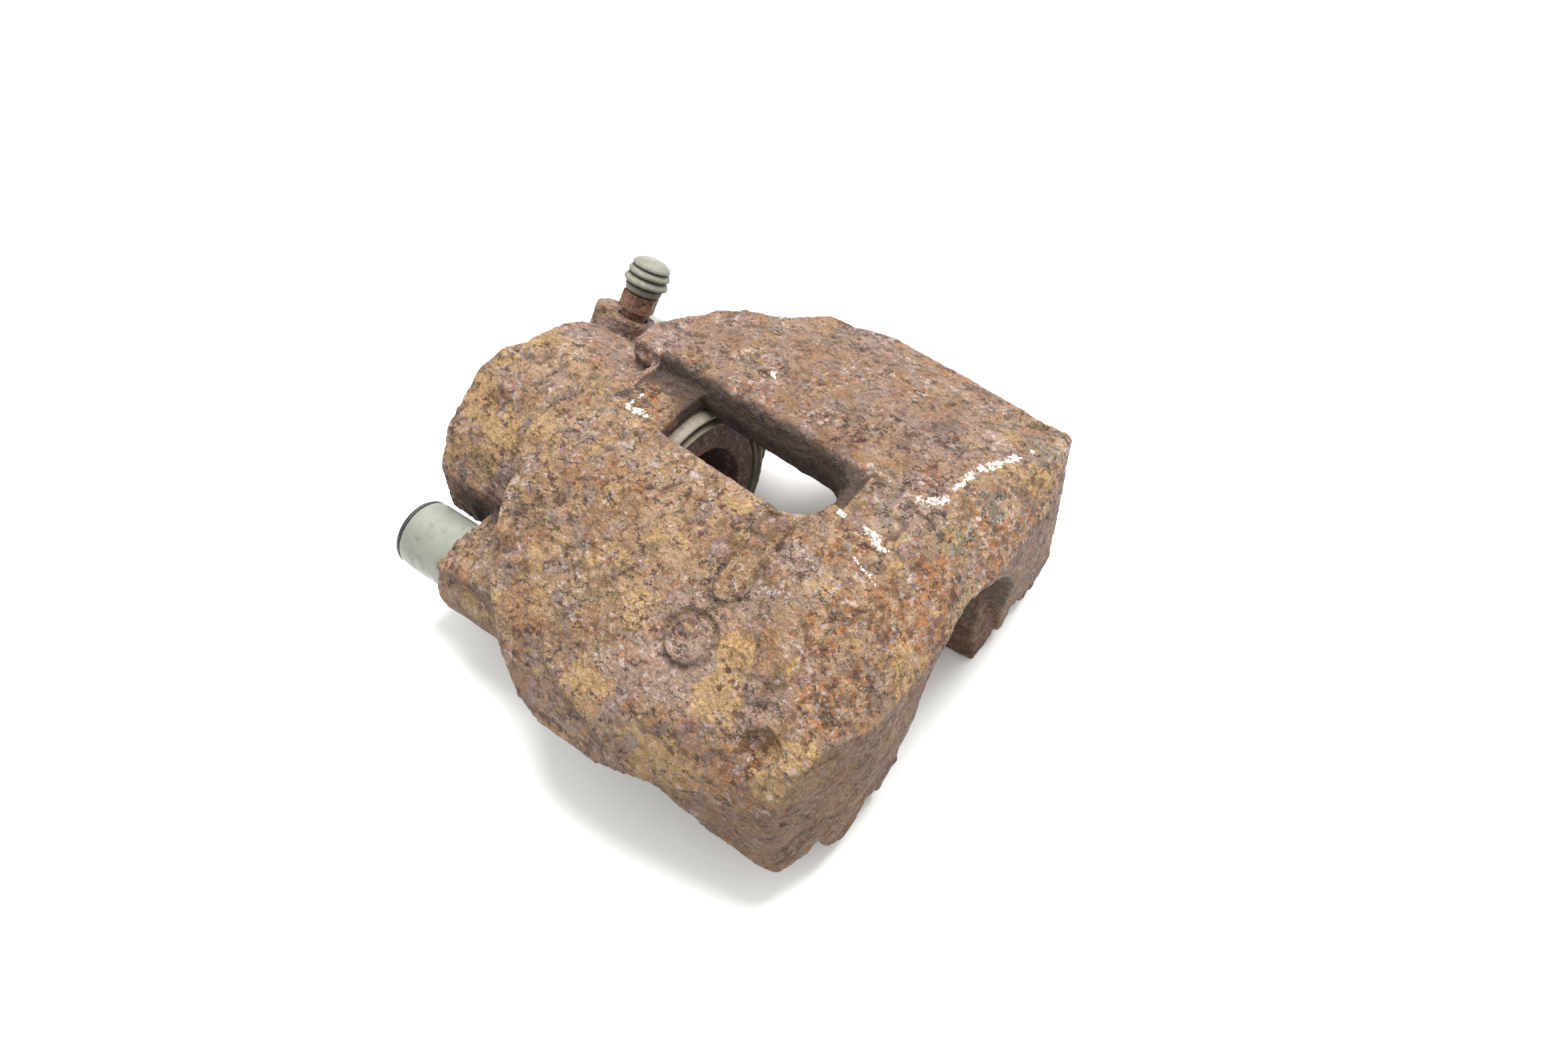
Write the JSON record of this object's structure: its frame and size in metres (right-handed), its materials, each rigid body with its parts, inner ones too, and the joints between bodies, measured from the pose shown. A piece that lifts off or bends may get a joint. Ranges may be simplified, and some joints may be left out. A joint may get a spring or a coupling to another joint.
{
  "type": "brake caliper",
  "caption": "Floating disc brake caliper: cast bridge housing with a sliding piston, dust boot, bleed screw and rubber guide bushes.",
  "frame": {"origin": "centre of the piston's rim on the bore axis, with the piston at rest", "axes": "+Y along the bore axis, out of the piston towards the fingers; +Z away from the disc's centre; +X along the disc's edge"},
  "size_m": [0.171, 0.171, 0.078],
  "materials": {
    "cast_body": "rusted rough casting",
    "piston": "dull, rust stained",
    "seal_rubber": "smooth",
    "boot_rubber": "dusty matte",
    "boot_ring": "dull zinc",
    "bleed_steel": "rusted",
    "cap_rubber": "matte, dusty",
    "bush_rubber": "satin",
    "pin_steel": "ground, greased",
    "end_cap_plastic": "matte"
  },
  "bodies": {
    "housing": {"caliper_housing": "cast_body", "piston_seal": "seal_rubber", "dust_boot": "boot_rubber", "boot_ring": "boot_ring", "guide_bush_near": "bush_rubber", "guide_bush_far": "bush_rubber"},
    "piston": {"piston": "piston"},
    "bleed_screw": {"bleed_screw": "bleed_steel"},
    "bleed_cap": {"bleed_cap": "cap_rubber"},
    "guide_pin_near": {"guide_pin_near": "pin_steel"},
    "guide_pin_far": {"guide_pin_far": "pin_steel"},
    "guide_cap_near": {"guide_cap_near": "end_cap_plastic"},
    "guide_cap_far": {"guide_cap_far": "end_cap_plastic"}
  },
  "joints": [
    {"name": "piston_slide", "type": "slide", "parent": "housing", "child": "piston", "axis": [0, 1, 0], "range_m": [-0.003, 0.022]},
    {"name": "guide_pin_near_slide", "type": "slide", "parent": "housing", "child": "guide_pin_near", "axis": [0, 1, 0], "range_m": [-0.003, 0.01]},
    {"name": "guide_pin_far_slide", "type": "slide", "parent": "housing", "child": "guide_pin_far", "axis": [0, 1, 0], "range_m": [-0.003, 0.01]},
    {"name": "bleed_screw_turn", "type": "hinge", "parent": "housing", "child": "bleed_screw", "pos_m": [-0.0134, -0.0622, -0.0146], "axis": [-0.5846, 0.1045, 0.8046], "range_deg": [0, 360]},
    {"name": "bleed_cap_pull", "type": "slide", "parent": "bleed_screw", "child": "bleed_cap", "axis": [-0.5846, 0.1045, 0.8046], "range_m": [0, 0.02]},
    {"name": "guide_cap_near_pull", "type": "slide", "parent": "housing", "child": "guide_cap_near", "axis": [0, -1, 0], "range_m": [0, 0.02]},
    {"name": "guide_cap_far_pull", "type": "slide", "parent": "housing", "child": "guide_cap_far", "axis": [0, -1, 0], "range_m": [0, 0.02]}
  ],
  "couplings": [
    {"joint": "guide_pin_far_slide", "follows": "guide_pin_near_slide", "ratio": 1}
  ]
}
